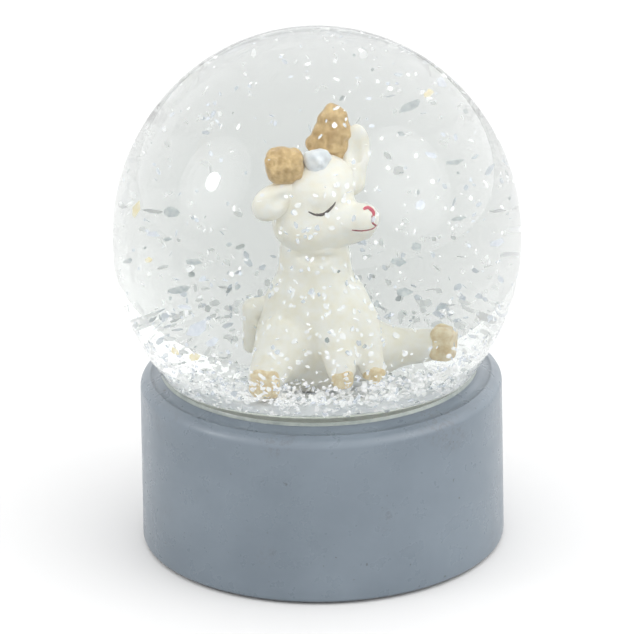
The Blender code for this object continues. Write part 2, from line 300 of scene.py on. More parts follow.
def water():
    """The liquid only tints the light: the wet side of the glass already bends it."""
    mat, nodes, links, _ = new_material(
        "liquid", Base_Color=(1, 1, 1, 1), Roughness=0.0, IOR=1.0, Transmission_Weight=1.0
    )
    absorb = nodes.new("ShaderNodeVolumeAbsorption")
    absorb.inputs["Color"].default_value = (0.64, 0.665, 0.65, 1.0)
    absorb.inputs["Density"].default_value = 28.0
    links.new(absorb.outputs["Volume"], nodes["Material Output"].inputs["Volume"])
    return mat


def painted(name, low, high, scale, roughness, grain=0.3, grain_scale=1800, metallic=0.0, distance=0.00008):
    """Brushed-on paint: two tones mixed by noise, with a fine grain."""
    mat, nodes, links, shader = new_material(name, Roughness=roughness, Metallic=metallic)
    tone = ramp(nodes, links, noise(nodes, links, scale, 4, 0.6, 2.0), [(0.35, low), (0.65, high)])
    links.new(tone, shader.inputs["Base Color"])
    bump(nodes, links, shader, noise(nodes, links, grain_scale, 4, 0.6, 6.0), grain, distance)
    return mat


# The fawn as a signed distance field -------------------------------------------------------------


def ball(p, centre, radii, turn=None):
    """Distance to an ellipsoid; turn is a rotation matrix for its axes."""
    q = p - np.array(centre, np.float32)
    if turn is not None:
        q = q @ np.array(turn, np.float32)
    r = np.array(radii, np.float32)
    k0 = np.linalg.norm(q / r, axis=-1)
    k1 = np.linalg.norm(q / (r * r), axis=-1)
    return k0 * (k0 - 1.0) / np.maximum(k1, 1e-6)


def limb(p, start, end, start_radius, end_radius):
    """Distance to a straight limb that tapers between two round ends."""
    a, b = np.array(start, np.float32), np.array(end, np.float32)
    ab = b - a
    t = np.clip(((p - a) @ ab) / float(ab @ ab), 0.0, 1.0)
    nearest = a + t[..., None] * ab
    return np.linalg.norm(p - nearest, axis=-1) - (start_radius + (end_radius - start_radius) * t)


def join(a, b, soft):
    """Two shapes as one, with a soft seam of the given width."""
    h = np.maximum(soft - np.abs(a - b), 0.0) / soft
    return np.minimum(a, b) - h * h * soft / 4


def carve(a, b, soft):
    """Shape a with shape b cut out of it."""
    return -join(-a, b, soft)


def turned_axes(x_deg=0, y_deg=0, z_deg=0):
    """A rotation matrix from three angles."""
    return np.array(Euler([math.radians(v) for v in (x_deg, y_deg, z_deg)]).to_matrix())


def block(p, centre, half, edge, turn=None):
    """Distance to a box with rounded edges."""
    q = p - np.array(centre, np.float32)
    if turn is not None:
        q = q @ np.array(turn, np.float32)
    q = np.abs(q) - (np.array(half, np.float32) - edge)
    return np.linalg.norm(np.maximum(q, 0.0), axis=-1) + np.minimum(q.max(axis=-1), 0.0) - edge


def value_noise(p, size, seed):
    """Smooth noise in -1..1, with features of the given size in mm."""
    rng = np.random.default_rng(seed)
    cells = 32
    table = rng.uniform(-1, 1, (cells,) * 3).astype(np.float32)
    q = p / size + 100.0  # away from zero, so that rounding down is the same everywhere
    i = np.floor(q).astype(int)
    f = (q - i).astype(np.float32)
    f = f * f * (3 - 2 * f)
    total = np.zeros(p.shape[:-1], np.float32)
    for corner in range(8):
        d = np.array([(corner >> s) & 1 for s in range(3)])
        w = np.prod(np.where(d, f, 1 - f), axis=-1)
        n = (i + d) % cells
        total += w * table[n[..., 0], n[..., 1], n[..., 2]]
    return total


def sculpt(name, shape, low, high, voxel, mats, body, replaced):
    """Turns the distance function shape(points in mm) into a smooth closed mesh."""
    low, high = np.array(low, float), np.array(high, float)
    counts = np.ceil((high - low) / voxel).astype(int) + 1
    axes = [low[k] + voxel * np.arange(counts[k]) for k in range(3)]
    points = np.stack(np.meshgrid(*axes, indexing="ij"), axis=-1).astype(np.float32)
    far_away = 10.0
    grid = openvdb.FloatGrid(far_away)
    grid.copyFromArray(shape(points).astype(np.float32))
    verts, triangles, quads = grid.convertToPolygons(isovalue=0.0, adaptivity=0.0)
    verts = (verts * voxel + low + np.array(FAWN_SHIFT)) * MM
    mesh = bpy.data.meshes.new(name)
    faces = [tuple(reversed(q)) for q in quads.tolist()] + [tuple(reversed(t)) for t in triangles.tolist()]
    mesh.from_pydata(verts.tolist(), [], faces)
    mesh.update()
    bm = bmesh.new()
    bm.from_mesh(mesh)
    if bm.calc_volume(signed=True) < 0:
        bmesh.ops.reverse_faces(bm, faces=bm.faces)
    bmesh.ops.smooth_vert(bm, verts=bm.verts, factor=0.5, use_axis_x=True, use_axis_y=True, use_axis_z=True)
    bm.to_mesh(mesh)
    bm.free()
    mesh.shade_smooth()
    return add_piece(name, mesh, mats, body, replaced)


def body_shape(p):
    """The rump, the back and the chest, with the neck and all four legs."""
    d = ball(p, (-1.2, 0.6, 38.2), (6.6, 6.2, 6.6))
    d = join(d, ball(p, (-0.6, -0.2, 42.4), (5.9, 5.2, 4.8)), 2.0)
    d = join(d, ball(p, (2.2, -2.2, 40.9), (3.8, 3.8, 4.6)), 1.6)
    d = join(d, limb(p, (-0.9, -0.4, 45.0), (-0.8, -0.8, 52.0), 4.5, 3.9), 1.6)
    # hind legs: the near one comes forward at the left, the far one lies out to the right
    near_thigh = ball(p, (-4.4, -2.6, 38.0), (3.6, 4.4, 4.4))
    near_shin = limb(p, (-5.5, -4.4, 36.8), (-7.3, -8.6, 34.9), 3.0, 2.1)
    far_thigh = ball(p, (4.3, 1.8, 36.4), (4.1, 3.9, 3.7))
    far_shin = limb(p, (5.1, 2.2, 36.2), (12.4, 3.0, 36.5), 2.6, 1.8)
    d = join(d, join(near_thigh, near_shin, 1.2), 0.6)
    d = join(d, join(far_thigh, far_shin, 1.5), 0.8)
    # forelegs
    fore_near = limb(p, (1.4, -4.0, 41.0), (2.2, -7.7, 35.8), 2.5, 1.75)
    fore_far = limb(p, (4.3, -2.8, 40.6), (6.0, -5.8, 35.6), 2.4, 1.55)
    d = join(d, fore_near, 1.2)
    d = join(d, fore_far, 1.2)
    # the crease under the jaw
    d = carve(d, ball(p, (-0.4, -4.6, 49.7), (3.4, 1.1, 0.5)), 0.5)
    return d + 0.10 * value_noise(p, 2.2, 3) + 0.05 * value_noise(p, 0.9, 4)


def head_shape(p):
    """The skull, cheek and brow, then the muzzle with its jaw, and the slit of the mouth."""
    d = ball(p, (-0.9, -0.8, 57.4), (4.8, 4.7, 4.5))
    d = join(d, ball(p, (-1.3, -1.7, 53.5), (4.6, 4.3, 3.9)), 1.6)
    d = join(d, ball(p, (0.9, -1.0, 58.6), (3.2, 3.6, 3.1)), 1.2)
    d = join(d, limb(p, (1.8, -2.6, 54.4), (5.1, -3.9, 54.4), 3.0, 1.95), 1.2)
    d = join(d, ball(p, (5.4, -4.3, 55.1), (1.8, 1.7, 1.7)), 0.6)
    d = join(d, limb(p, (1.3, -2.6, 52.4), (5.5, -4.0, 53.1), 2.2, 1.05), 0.35)
    d = join(d, ball(p, (0.1, -4.2, 57.9), (2.1, 1.5, 1.7)), 0.5)
    mouth = limb(p, (3.6, -6.3, 53.6), (7.3, -5.3, 53.6), 0.22, 0.30)
    d = carve(d, mouth, 0.3)
    return d + 0.06 * value_noise(p, 2.0, 7) + 0.03 * value_noise(p, 0.8, 8)


def ear_near_shape(p):
    """A round ear that hangs, with a hollow in it."""
    turn = turned_axes(0, -25, 20)
    d = ball(p, (-6.0, -3.9, 57.1), (2.8, 1.6, 2.3), turn)
    d = join(d, ball(p, (-4.1, -3.0, 58.6), (1.7, 1.5, 1.4)), 0.9)
    d = carve(d, ball(p, (-4.9, -5.9, 57.9), (1.6, 1.3, 1.05), turn), 0.5)
    return d + 0.06 * value_noise(p, 1.2, 11)


def ear_far_shape(p):
    """A leaf-shaped ear that stands up behind the far horn."""
    d = ball(p, (4.3, 2.6, 61.6), (1.75, 0.9, 3.1), turned_axes(0, 4, 20))
    d = join(d, limb(p, (3.5, 1.6, 57.6), (4.1, 2.4, 60.2), 1.9, 1.5), 1.2)
    d = carve(d, ball(p, (4.4, 1.4, 61.8), (0.9, 0.6, 2.1), turned_axes(0, 4, 20)), 0.4)
    return d + 0.06 * value_noise(p, 1.2, 12)


def horn_far_shape(p):
    """A tall knobbly stump."""
    d = limb(p, (1.5, 2.4, 62.6), (1.65, 2.5, 66.1), 2.15, 1.5)
    d = join(d, limb(p, (-0.5, 2.0, 62.5), (0.6, 2.2, 64.2), 1.05, 1.2), 0.4)
    d = join(d, limb(p, (2.0, 2.0, 61.2), (2.4, 2.2, 63.4), 1.1, 1.3), 0.5)
    return d + 0.42 * value_noise(p, 1.5, 21) + 0.22 * value_noise(p, 0.75, 22)


def horn_near_shape(p):
    """A short, blocky, knobbly stump."""
    d = block(p, (-4.3, -3.1, 61.6), (2.35, 2.0, 2.1), 1.7)
    d = join(d, ball(p, (-4.5, -3.1, 62.7), (1.9, 1.6, 1.7)), 0.8)
    d = join(d, ball(p, (-5.7, -3.2, 62.8), (1.35, 1.4, 1.3)), 0.5)
    d = join(d, ball(p, (-3.4, -3.0, 62.9), (1.3, 1.4, 1.2)), 0.5)
    return d + 0.34 * value_noise(p, 1.5, 24) + 0.20 * value_noise(p, 0.75, 25)


def forelock_shape(p):
    """A tuft that hangs down between the horns."""
    d = ball(p, (-0.4, -2.6, 61.9), (1.25, 1.25, 1.6))
    d = join(d, ball(p, (0.5, -2.2, 62.6), (1.0, 1.0, 0.95)), 0.3)
    d = join(d, ball(p, (-1.3, -2.5, 62.5), (0.85, 1.0, 0.8)), 0.3)
    return d + 0.34 * value_noise(p, 0.8, 31)


def tail_shape(p):
    """A stub of a tail, bent over at its top."""
    d = limb(p, (-8.25, 1.0, 37.2), (-8.1, 0.9, 41.7), 0.85, 1.1)
    d = join(d, limb(p, (-8.0, 0.9, 41.9), (-5.6, 0.6, 42.3), 1.05, 1.3), 0.5)
    return d + 0.10 * value_noise(p, 1.2, 33)


# Hooves: centre, half sizes, edge radius, tilt about Y in degrees
HOOVES = {
    "hind_hoof_near": ((-7.4, -9.2, 34.3), (2.0, 1.8, 2.05), 1.3, 4),
    "hind_hoof_far": ((13.3, 3.0, 36.6), (1.4, 1.9, 1.95), 0.9, 8),
    "fore_hoof_near": ((2.3, -8.2, 34.9), (1.4, 1.3, 1.35), 0.8, -6),
    "fore_hoof_far": ((6.2, -6.2, 34.9), (1.1, 1.15, 1.15), 0.6, 38),
}


def hoof_shape(centre, half, edge, tilt, seed):
    """A blocky hoof with the cleft down its front."""
    x, y, z = centre
    turn = turned_axes(0, tilt, 0)

    def shape(p):
        d = block(p, centre, half, edge, turn)
        cleft = limb(p, (x, y - half[1], z - half[2]), (x, y - half[1] * 1.1, z), 0.3, 0.1)
        d = carve(d, cleft, 0.3)
        return d + 0.20 * value_noise(p, 1.1, seed)

    return shape


def fawn_paints():
    """The figure's paints: cream, gold for the horns, paler gold for the hooves, and white."""
    cream = painted("cream_paint", srgb(249, 244, 228), srgb(254, 252, 246), 500, 0.45)
    gold = painted("gold_paint", srgb(186, 146, 82), srgb(228, 196, 136), 1100, 0.36, grain=0.6)
    hoof = painted("hoof_paint", srgb(226, 200, 150), srgb(250, 236, 204), 1100, 0.36, grain=0.6)
    white = painted("white_paint", srgb(226, 232, 238), srgb(242, 245, 248), 900, 0.45)
    return cream, gold, hoof, white


def make_fawn():
    """Sculpts every piece of the figure; returns the pieces by name."""
    cream, gold, hoof, white = fawn_paints()
    # name, shape, the corners of its grid in mm, the grid's step, paint, slot
    jobs = [
        ("fawn_body", body_shape, (-12, -12, 29), (16, 9, 55), 0.28, cream, "cream_paint"),
        ("fawn_head", head_shape, (-8, -9, 46), (9, 5, 65), 0.2, cream, "cream_paint"),
        ("ear_near", ear_near_shape, (-11, -8, 52), (-1, 0, 62), 0.18, cream, "cream_paint"),
        ("ear_far", ear_far_shape, (1, -1, 53), (8, 7, 67), 0.18, cream, "cream_paint"),
        ("horn_far", horn_far_shape, (-4, -3, 56), (7, 8, 71), 0.16, gold, "gold_paint"),
        ("horn_near", horn_near_shape, (-9, -7, 56), (0, 1, 68), 0.16, gold, "gold_paint"),
        ("forelock", forelock_shape, (-4, -6, 58), (3, 1, 66), 0.14, white, "white_paint"),
        ("fawn_tail", tail_shape, (-11, -2, 33), (-3, 4, 46), 0.2, cream, "cream_paint"),
    ]
    for seed, (name, (centre, half, edge, tilt)) in enumerate(HOOVES.items(), 40):
        low = [c - 1.5 * h - 0.6 for c, h in zip(centre, half)]
        high = [c + 1.5 * h + 0.6 for c, h in zip(centre, half)]
        shape = hoof_shape(centre, half, edge, tilt, seed)
        jobs.append((name, shape, low, high, 0.18, hoof, "gold_paint"))
    pieces = {}
    for name, shape, low, high, voxel, mat, slot in jobs:
        pieces[name] = sculpt(name + "_sculpt", shape, low, high, voxel, [mat], "globe", [name])
    return pieces


def skin(pieces):
    """A tree of the figure's surfaces in mm, to lay paint strokes and flakes on."""
    verts, faces = [], []
    for piece in pieces:
        start = len(verts)
        verts += [v.co / MM for v in piece.data.vertices]
        faces += [[start + i for i in poly.vertices] for poly in piece.data.polygons]
    return BVHTree.FromPolygons(verts, faces)


# Painted strokes: points (x, z) in mm, then the width at the middle and at the ends
STROKES = {
    "eye_line": (
        [(-1.5, 56.4), (-0.6, 56.0), (0.3, 56.0), (1.1, 56.5), (1.7, 57.1), (1.9, 57.5)], 0.40, 0.12
    ),
    "nose_patch": ([(5.4, 56.5), (6.0, 56.6), (6.6, 56.1), (6.7, 55.6)], 0.62, 0.30),
    "nose_line": ([(6.5, 55.7), (6.5, 54.9), (6.9, 54.2)], 0.26, 0.22),
    "mouth_line": ([(7.0, 54.2), (6.4, 53.85), (5.4, 53.75), (4.4, 53.8), (3.9, 53.85)], 0.30, 0.14),
}


def smooth_line(points, steps):
    """A Catmull-Rom line through the points."""
    pts = [Vector(q) for q in points]
    pts = [2 * pts[0] - pts[1]] + pts + [2 * pts[-1] - pts[-2]]
    line = []
    for i in range(1, len(pts) - 2):
        a, b, c, d = pts[i - 1 : i + 3]
        square, cube = 2 * a - 5 * b + 4 * c - d, 3 * b - a - 3 * c + d
        for k in range(steps):
            t = k / steps
            line.append(0.5 * (2 * b + (c - a) * t + square * t * t + cube * t**3))
    return line + [pts[-2]]


def lay_stroke(name, points, middle, ends, tree, mat, rng):
    """A thin raised bead of paint, laid on the skin from the front."""
    line = smooth_line(points, 8)
    front, skin_y = -20, -5.5  # where the rays start, and about where the skin is
    rings = []
    for k, at in enumerate(line):
        along = k / (len(line) - 1)
        hit, normal, _, _ = tree.ray_cast(Vector((at.x + FAWN_SHIFT.x, front, at.y)), Vector((0, 1, 0)))
        if hit is None:
            hit, normal, _, _ = tree.find_nearest(Vector((at.x + FAWN_SHIFT.x, skin_y, at.y)))
        half = 0.5 * (ends + (middle - ends) * math.sin(math.pi * along) ** 0.7) * rng.uniform(0.85, 1.15)
        rings.append((hit, normal, half))
    bm = bmesh.new()
    sides = 8
    loops = []
    for k, (hit, normal, half) in enumerate(rings):
        ahead = rings[min(k + 1, len(rings) - 1)][0] - rings[max(k - 1, 0)][0]
        across = ahead.cross(normal).normalized()
        ring = []
        for i in range(sides):
            turn = 2 * math.pi * i / sides
            rise = normal * STROKE_LIFT * math.sin(turn)
            ring.append(bm.verts.new((hit + across * half * math.cos(turn) + rise) * MM))
        loops.append(ring)
    for first, second in zip(loops, loops[1:]):
        for i in range(sides):
            bm.faces.new((first[i], first[(i + 1) % sides], second[(i + 1) % sides], second[i]))
    bm.faces.new(loops[0])
    bm.faces.new(list(reversed(loops[-1])))
    bmesh.ops.recalc_face_normals(bm, faces=bm.faces)
    mesh = bpy.data.meshes.new(name)
    bm.to_mesh(mesh)
    bm.free()
    mesh.shade_smooth()
    add_piece(name, mesh, [mat], "globe")


def make_face(pieces):
    """The closed eye, the nose and the mouth."""
    rng = np.random.default_rng(5)
    tree = skin([pieces["fawn_head"]])
    dark = painted("eye_paint", srgb(52, 44, 40), srgb(88, 74, 66), 2500, 0.4)
    pink = painted("nose_paint", srgb(196, 46, 78), srgb(222, 92, 112), 2500, 0.4)
    wine = painted("mouth_paint", srgb(140, 44, 52), srgb(190, 66, 78), 2500, 0.4)
    for name, mat in (("eye_line", dark), ("nose_patch", pink), ("nose_line", wine), ("mouth_line", wine)):
        points, middle, ends = STROKES[name]
        lay_stroke(name, points, middle, ends, tree, mat, rng)


# Flakes ------------------------------------------------------------------------------------------


def flake_paint(name, low, high, alpha, glow):
    """A thin translucent plate; the glow stands for the light that comes through from behind it."""
    mat, nodes, links, shader = new_material(
        name, Roughness=0.35, Alpha=alpha, Emission_Color=(*high, 1.0), Emission_Strength=glow
    )
    tone = ramp(nodes, links, noise(nodes, links, 1500, 2, 0.5, 4.0), [(0.38, low), (0.62, high)])
    links.new(tone, shader.inputs["Base Color"])
    return mat


def flake_mats():
    """In the order of the tones WHITE, BLUE, GREY and GOLD."""
    return [
        flake_paint("flake_white", srgb(250, 251, 253), srgb(255, 255, 255), 0.75, 0.20),
        flake_paint("flake_blue", srgb(218, 226, 238), srgb(240, 244, 252), 0.5, 0.18),
        flake_paint("flake_grey", srgb(160, 172, 176), srgb(204, 212, 212), 0.45, 0.12),
        flake_paint("flake_gold", srgb(246, 232, 176), srgb(252, 246, 222), 0.6, 0.18),
    ]


WHITE, BLUE, GREY, GOLD = range(4)
FLAKE_THICK = 0.05 * MM
AFLOAT, SETTLED, CAUGHT = 1350, 2900, 330  # how many of each are made, or tried
WALL_GAP = 1.0  # mm between the flakes' middles and the glass
MOUND_RADIUS = 16.4  # mm, the edge of the mound; outside it the flakes lie deeper


class Flakes:
    """Collects thin irregular plates, to make one mesh of them."""

    def __init__(self, seed):
        self.rng = np.random.default_rng(seed)
        self.verts, self.faces, self.tones = [], [], []

    def add(self, centre, facing, length, width, spin, tone):
        """Adds one plate with five to seven corners, its flat side turned to facing."""
        rng = self.rng
        sides = int(rng.integers(5, 8))
        facing = Vector(facing).normalized()
        side = facing.orthogonal().normalized()
        if abs(facing.z) < 0.95:
            side = Vector((0, 0, 1)).cross(facing).normalized()
        up = facing.cross(side)
        start = len(self.verts)
        corners = []
        for i in range(sides):
            turn = 2 * math.pi * (i + rng.uniform(-0.3, 0.3)) / sides
            reach = rng.uniform(0.72, 1.0) / 2
            a, b = length * reach * math.cos(turn), width * reach * math.sin(turn)
            across = a * math.cos(spin) - b * math.sin(spin)
            rise = a * math.sin(spin) + b * math.cos(spin)
            corners.append(Vector(centre) + side * across + up * rise)
        for lift in (-0.5, 0.5):
            self.verts += [c + facing * FLAKE_THICK * lift for c in corners]
        low = [start + i for i in range(sides)]
        high = [start + sides + i for i in range(sides)]
        self.faces += [list(reversed(low)), high]
        self.faces += [[low[i], low[(i + 1) % sides], high[(i + 1) % sides], high[i]] for i in range(sides)]
        self.tones += [tone] * (sides + 2)

    def scatter(self, at, facing, sizes, chances, wobble=0.0):
        """Adds one plate whose size, tone, shape and spin are drawn at random."""
        rng = self.rng
        size = rng.uniform(*sizes) * MM
        tone = int(rng.choice([WHITE, BLUE, GREY], p=chances))
        if wobble:
            facing = facing + Vector(rng.normal(size=3) * wobble)
        self.add(at, facing, size, size * rng.uniform(0.5, 0.95), rng.uniform(0, math.pi), tone)

    def finish(self, name, body, mats):
        """Makes the piece."""
        mesh = bpy.data.meshes.new(name)
        mesh.from_pydata([tuple(v) for v in self.verts], [], self.faces)
        add_piece(name, mesh, mats, body)
        mesh.polygons.foreach_set("material_index", self.tones)
        mesh.update()


# The room left free round the figure, since the liquid turns about it: (radius, height) in mm
FAWN_ROOM = [(17.9, 31.0), (17.9, 41.0), (12.2, 44.2), (12.2, 62.8), (8.0, 66.0), (6.6, 69.2), (0.0, 71.4)]


def room_radius(z):
    """The radius of the room round the figure at a height, in mm."""
    for (r0, z0), (r1, z1) in zip(FAWN_ROOM, FAWN_ROOM[1:]):
        if z0 <= z <= z1:
            return r0 + (r1 - r0) * (z - z0) / max(z1 - z0, 1e-6)
    return 0.0


# Larger plates in the liquid: place in mm, length, width, lean in degrees, tone
PLATES = [
    ((13.8, -8.0, 73.6), 4.9, 1.7, 28, GREY),
    ((16.4, -4.0, 74.1), 2.6, 1.2, 42, GOLD),
    ((17.3, 4.0, 71.6), 3.0, 1.9, 60, BLUE),
    ((11.7, -8.0, 68.7), 1.3, 0.9, -20, GREY),
    ((15.7, -8.0, 65.5), 2.3, 1.0, -10, BLUE),
    ((19.4, -8.0, 64.6), 3.6, 1.0, 8, GREY),
    ((14.4, -14.0, 60.5), 1.9, 1.6, 20, BLUE),
    ((18.9, -8.0, 56.1), 2.8, 0.7, 5, GREY),
    ((13.5, -14.0, 54.4), 1.8, 1.3, -15, GREY),
    ((10.9, -14.0, 52.3), 2.6, 1.5, -8, GREY),
    ((11.5, -14.0, 47.9), 3.0, 1.4, -10, GREY),
    ((7.8, -14.0, 46.4), 1.2, 1.2, 0, GREY),
    ((25.2, -8.0, 52.5), 3.7, 1.5, 4, BLUE),
    ((17.0, -14.0, 45.5), 3.0, 0.9, 12, GREY),
    ((-19.5, -8.0, 57.7), 3.0, 1.7, -6, GREY),
    ((-22.2, -8.0, 54.6), 2.8, 1.0, -8, BLUE),
    ((-19.8, -8.0, 53.8), 1.9, 0.7, 0, GREY),
    ((-16.8, -14.0, 52.6), 3.0, 1.2, -8, GREY),
    ((-18.1, -8.0, 46.7), 4.2, 1.2, 12, GREY),
    ((-14.7, -8.0, 48.3), 1.4, 0.9, 35, BLUE),
    ((-24.6, -2.0, 48.6), 2.8, 1.0, 5, GREY),
    ((-22.7, -8.0, 50.8), 1.8, 1.0, 10, GOLD),
    ((-18.2, -14.0, 46.0), 2.7, 0.9, -5, BLUE),
    ((-11.9, -14.0, 55.1), 1.2, 0.7, 0, GREY),
    ((-16.3, -14.0, 42.9), 4.8, 2.3, 32, BLUE),
    ((-17.1, -14.0, 38.6), 2.6, 1.7, 20, GOLD),
    ((-14.3, -14.0, 41.1), 2.6, 1.3, 28, BLUE),
    ((-10.7, -14.0, 49.0), 1.1, 0.8, 40, GREY),
    ((-19.8, -12.0, 38.6), 1.9, 1.3, -30, GOLD),
    ((-23.0, 0.0, 55.1), 2.7, 1.6, 70, GOLD),
]


def on_ring(r, turn, z):
    """A point, from its distance to the ball's middle line, its direction and its height in mm."""
    return Vector((r * math.cos(turn), r * math.sin(turn), z)) * MM + Vector((BALL_CENTRE.x, 0, 0))


def reach_squared(z):
    """The square of how far from the middle line a flake can be at a height, in mm."""
    wall = WATER_RADIUS / MM - WALL_GAP
    return wall * wall - ((z - BALL_CENTRE.z / MM) / BALL_STRETCH) ** 2


def make_afloat(mats):
    """The flakes in the liquid, thickest low down, and the larger plates."""
    flakes = Flakes(101)
    rng = flakes.rng
    low, rise = 35.6, 44.0
    made = 0
    while made < AFLOAT:
        z = low + rise * rng.random() ** 3.2
        inner = room_radius(z) + 0.8
        if reach_squared(z) <= inner * inner:
            continue
        r = math.sqrt(rng.uniform(inner * inner, reach_squared(z)))
        at = on_ring(r, rng.uniform(0, 2 * math.pi), z)
        facing = rng.normal(size=3) + np.array((0, -0.6, 0.4))
        flakes.scatter(at, facing, (0.45, 1.2), [0.62, 0.33, 0.05])
        made += 1
    for place, length, width, lean, tone in PLATES:
        flakes.add(Vector(place) * MM, (0.1, -1, 0.25), length * MM, width * MM, math.radians(lean), tone)
    flakes.finish("flakes_afloat", "liquid", mats)


def make_settled(pieces, mats):
    """The flakes that lie at the bottom, banked up towards the glass, and those caught on the figure."""
    flakes = Flakes(202)
    rng = flakes.rng
    for _ in range(SETTLED):
        r = math.sqrt(rng.uniform(2.0**2, 27.0**2))
        turn = rng.uniform(0, 2 * math.pi)
        ground = 32.0 if r < MOUND_RADIUS else 30.4
        pile = 34.2 + 0.42 * (r - MOUND_RADIUS) if r > MOUND_RADIUS else 32.9
        z = ground + (pile - ground) * rng.random() ** 1.6
        if r * r > reach_squared(z):
            continue
        facing = rng.normal(size=3) * 0.6 + np.array((0, -0.3, 1.0))
        flakes.scatter(on_ring(r, turn, z), facing, (0.6, 1.3), [0.84, 0.13, 0.03])
    tree = skin(pieces.values())
    low, rise = 33.0, 26.0
    caught = 0
    while caught < CAUGHT:
        z = low + rise * rng.random() ** 1.8
        turn = rng.uniform(0, 2 * math.pi)
        out = Vector((math.cos(turn), math.sin(turn), rng.uniform(-0.1, 0.5)))
        hit, normal, _, _ = tree.ray_cast(Vector((0, 0, z)) + out * 30, -out)
        if hit is None or normal.z < -0.2:
            continue
        at = (hit + normal * STROKE_LIFT) * MM
        flakes.scatter(at, normal, (0.6, 1.2), [0.80, 0.18, 0.02], wobble=0.15)
        caught += 1
    flakes.finish("flakes_settled", "globe", mats)


# Glass, liquid and base --------------------------------------------------------------------------


def make_glass():
    """One closed shell: the ball's outside, the neck's cut end, and the inside, which is wet."""
    end_z = GLASS_LOW.z
    inner = NECK_RADIUS - GLASS_WALL
    outline = arc(BALL_RADIUS, GLASS_HIGH.z, height_on_ball(BALL_RADIUS, NECK_RADIUS), 110)
    outline += [(NECK_RADIUS, end_z + NECK_EDGE_OUT), (NECK_RADIUS - NECK_EDGE_OUT, end_z)]
    outline += [(inner + NECK_EDGE_IN, end_z), (inner, end_z + NECK_EDGE_IN)]
    inside = arc(WATER_RADIUS, height_on_ball(WATER_RADIUS, inner), GLASS_HIGH.z, 110)
    slots = [0] * (len(outline) - 1) + [1] * (len(inside) + 1)
    mesh = turned_mesh("glass_shell", outline + inside, BALL_CENTRE, slots=slots)
    mats = [glass_outside(), glass_inside()]
    add_piece("glass_shell", mesh, mats, "globe", ["glass_globe"])


def make_liquid():
    """The liquid fills the ball from the settled flakes right to the top."""
    outline = arc(WATER_RADIUS - WATER_GAP, GLASS_HIGH.z, BED_LOW.z, 80) + [(0.0, BED_LOW.z)]
    mesh = turned_mesh("water_fill", outline, BALL_CENTRE, 192)
    add_piece("water_fill", mesh, [water()], "liquid", ["liquid"])


def make_base():
    """The painted casting: straight sides, a rounded outer edge, and a rim that climbs to the ball."""
    foot_r = (BASE_HIGH.x - BASE_LOW.x) / 2
    top_r = foot_r - SIDE_TAPER
    shoulder_z = BASE_HIGH.z - LIP_RISE
    low_z, high_z = BASE_LOW.z + FOOT_EDGE, shoulder_z - RIM_HEIGHT
    rim_r = top_r - RIM_WIDTH
    outline = fillet(foot_r - FOOT_EDGE, low_z, FOOT_EDGE, FOOT_EDGE, -90, 0, 6)
    side_steps = 12
    for step in range(1, side_steps):
        t = step / side_steps
        outline.append((foot_r + (top_r - foot_r) * t, low_z + (high_z - low_z) * t))
    # the rounded edge ends in a fine ridge, and a shallow dip lies between the ridge and the ball
    outline += fillet(rim_r, high_z, RIM_WIDTH, RIM_HEIGHT, 0, 62, 9)
    outline += fillet(top_r - RIDGE_IN, high_z + RIDGE_UP, RIDGE_RADIUS, RIDGE_RADIUS, 60, 115, 6)
    # the ball stands a little to one side of the base, so the rest shifts towards it
    shift = BALL_CENTRE.x - BASE_CENTRE.x
    seat = BALL_RADIUS + SEAT_GAP
    lip_r = reach_on_ball(seat, BASE_HIGH.z)
    for t in (0.25, 0.5, 0.75):
        crown = LIP_RISE * math.sin(math.pi * t / 2)
        outline.append((rim_r + (lip_r - rim_r) * t, shoulder_z + crown, shift * t))
    outline += [(r, z, shift) for r, z in arc(seat, BASE_HIGH.z, SEAT_LOW_Z, 10)]
    pocket = [(POCKET_RADIUS, POCKET_HIGH_Z), (POCKET_RADIUS, POCKET_LOW_Z), (0.0, POCKET_LOW_Z)]
    outline += [(r, z, shift) for r, z in pocket]
    # the hollow underneath, and the recess for the pad
    outline += [(0.0, HOLLOW_TOP_Z), (HOLLOW_RADIUS - HOLLOW_EDGE, HOLLOW_TOP_Z)]
    outline += [(HOLLOW_RADIUS, HOLLOW_TOP_Z - HOLLOW_EDGE), (HOLLOW_RADIUS, PAD_RECESS_Z)]
    outline += [(PAD_RECESS_RADIUS, PAD_RECESS_Z), (PAD_RECESS_RADIUS, BASE_LOW.z)]
    mesh = turned_mesh("base_shell", outline, BASE_CENTRE, sharp_deg=50)
    add_piece("base_shell", mesh, [base_paint()], "globe", ["base_casting"])


def make_adhesive_line():
    """The adhesive that shows all round, in the crook between the ball and the rim, and a film below it."""
    lip_z = BASE_HIGH.z
    lip_r = reach_on_ball(BALL_RADIUS, lip_z)
    outline = arc(BALL_RADIUS + LINE_INSIDE, LINE_LOW_Z, lip_z + LINE_RISE, 10)
    outline += [(lip_r + 0.52 * MM, lip_z + 0.18 * MM), (lip_r + 0.62 * MM, lip_z - 0.10 * MM)]
    outline += arc(BALL_RADIUS + LINE_OUTSIDE, lip_z - 0.05 * MM, LINE_LOW_Z, 8)
    mesh = turned_mesh("adhesive_bead", outline, BALL_CENTRE)
    paint = painted("adhesive_line", srgb(116, 124, 122), srgb(138, 145, 140), 500, 0.25)
    add_piece("adhesive_bead", mesh, [paint], "globe")


def assign(node, mat):
    """Gives a CAD node that stays visible its material."""
    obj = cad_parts[node]
    obj.data.materials.clear()
    obj.data.materials.append(mat)


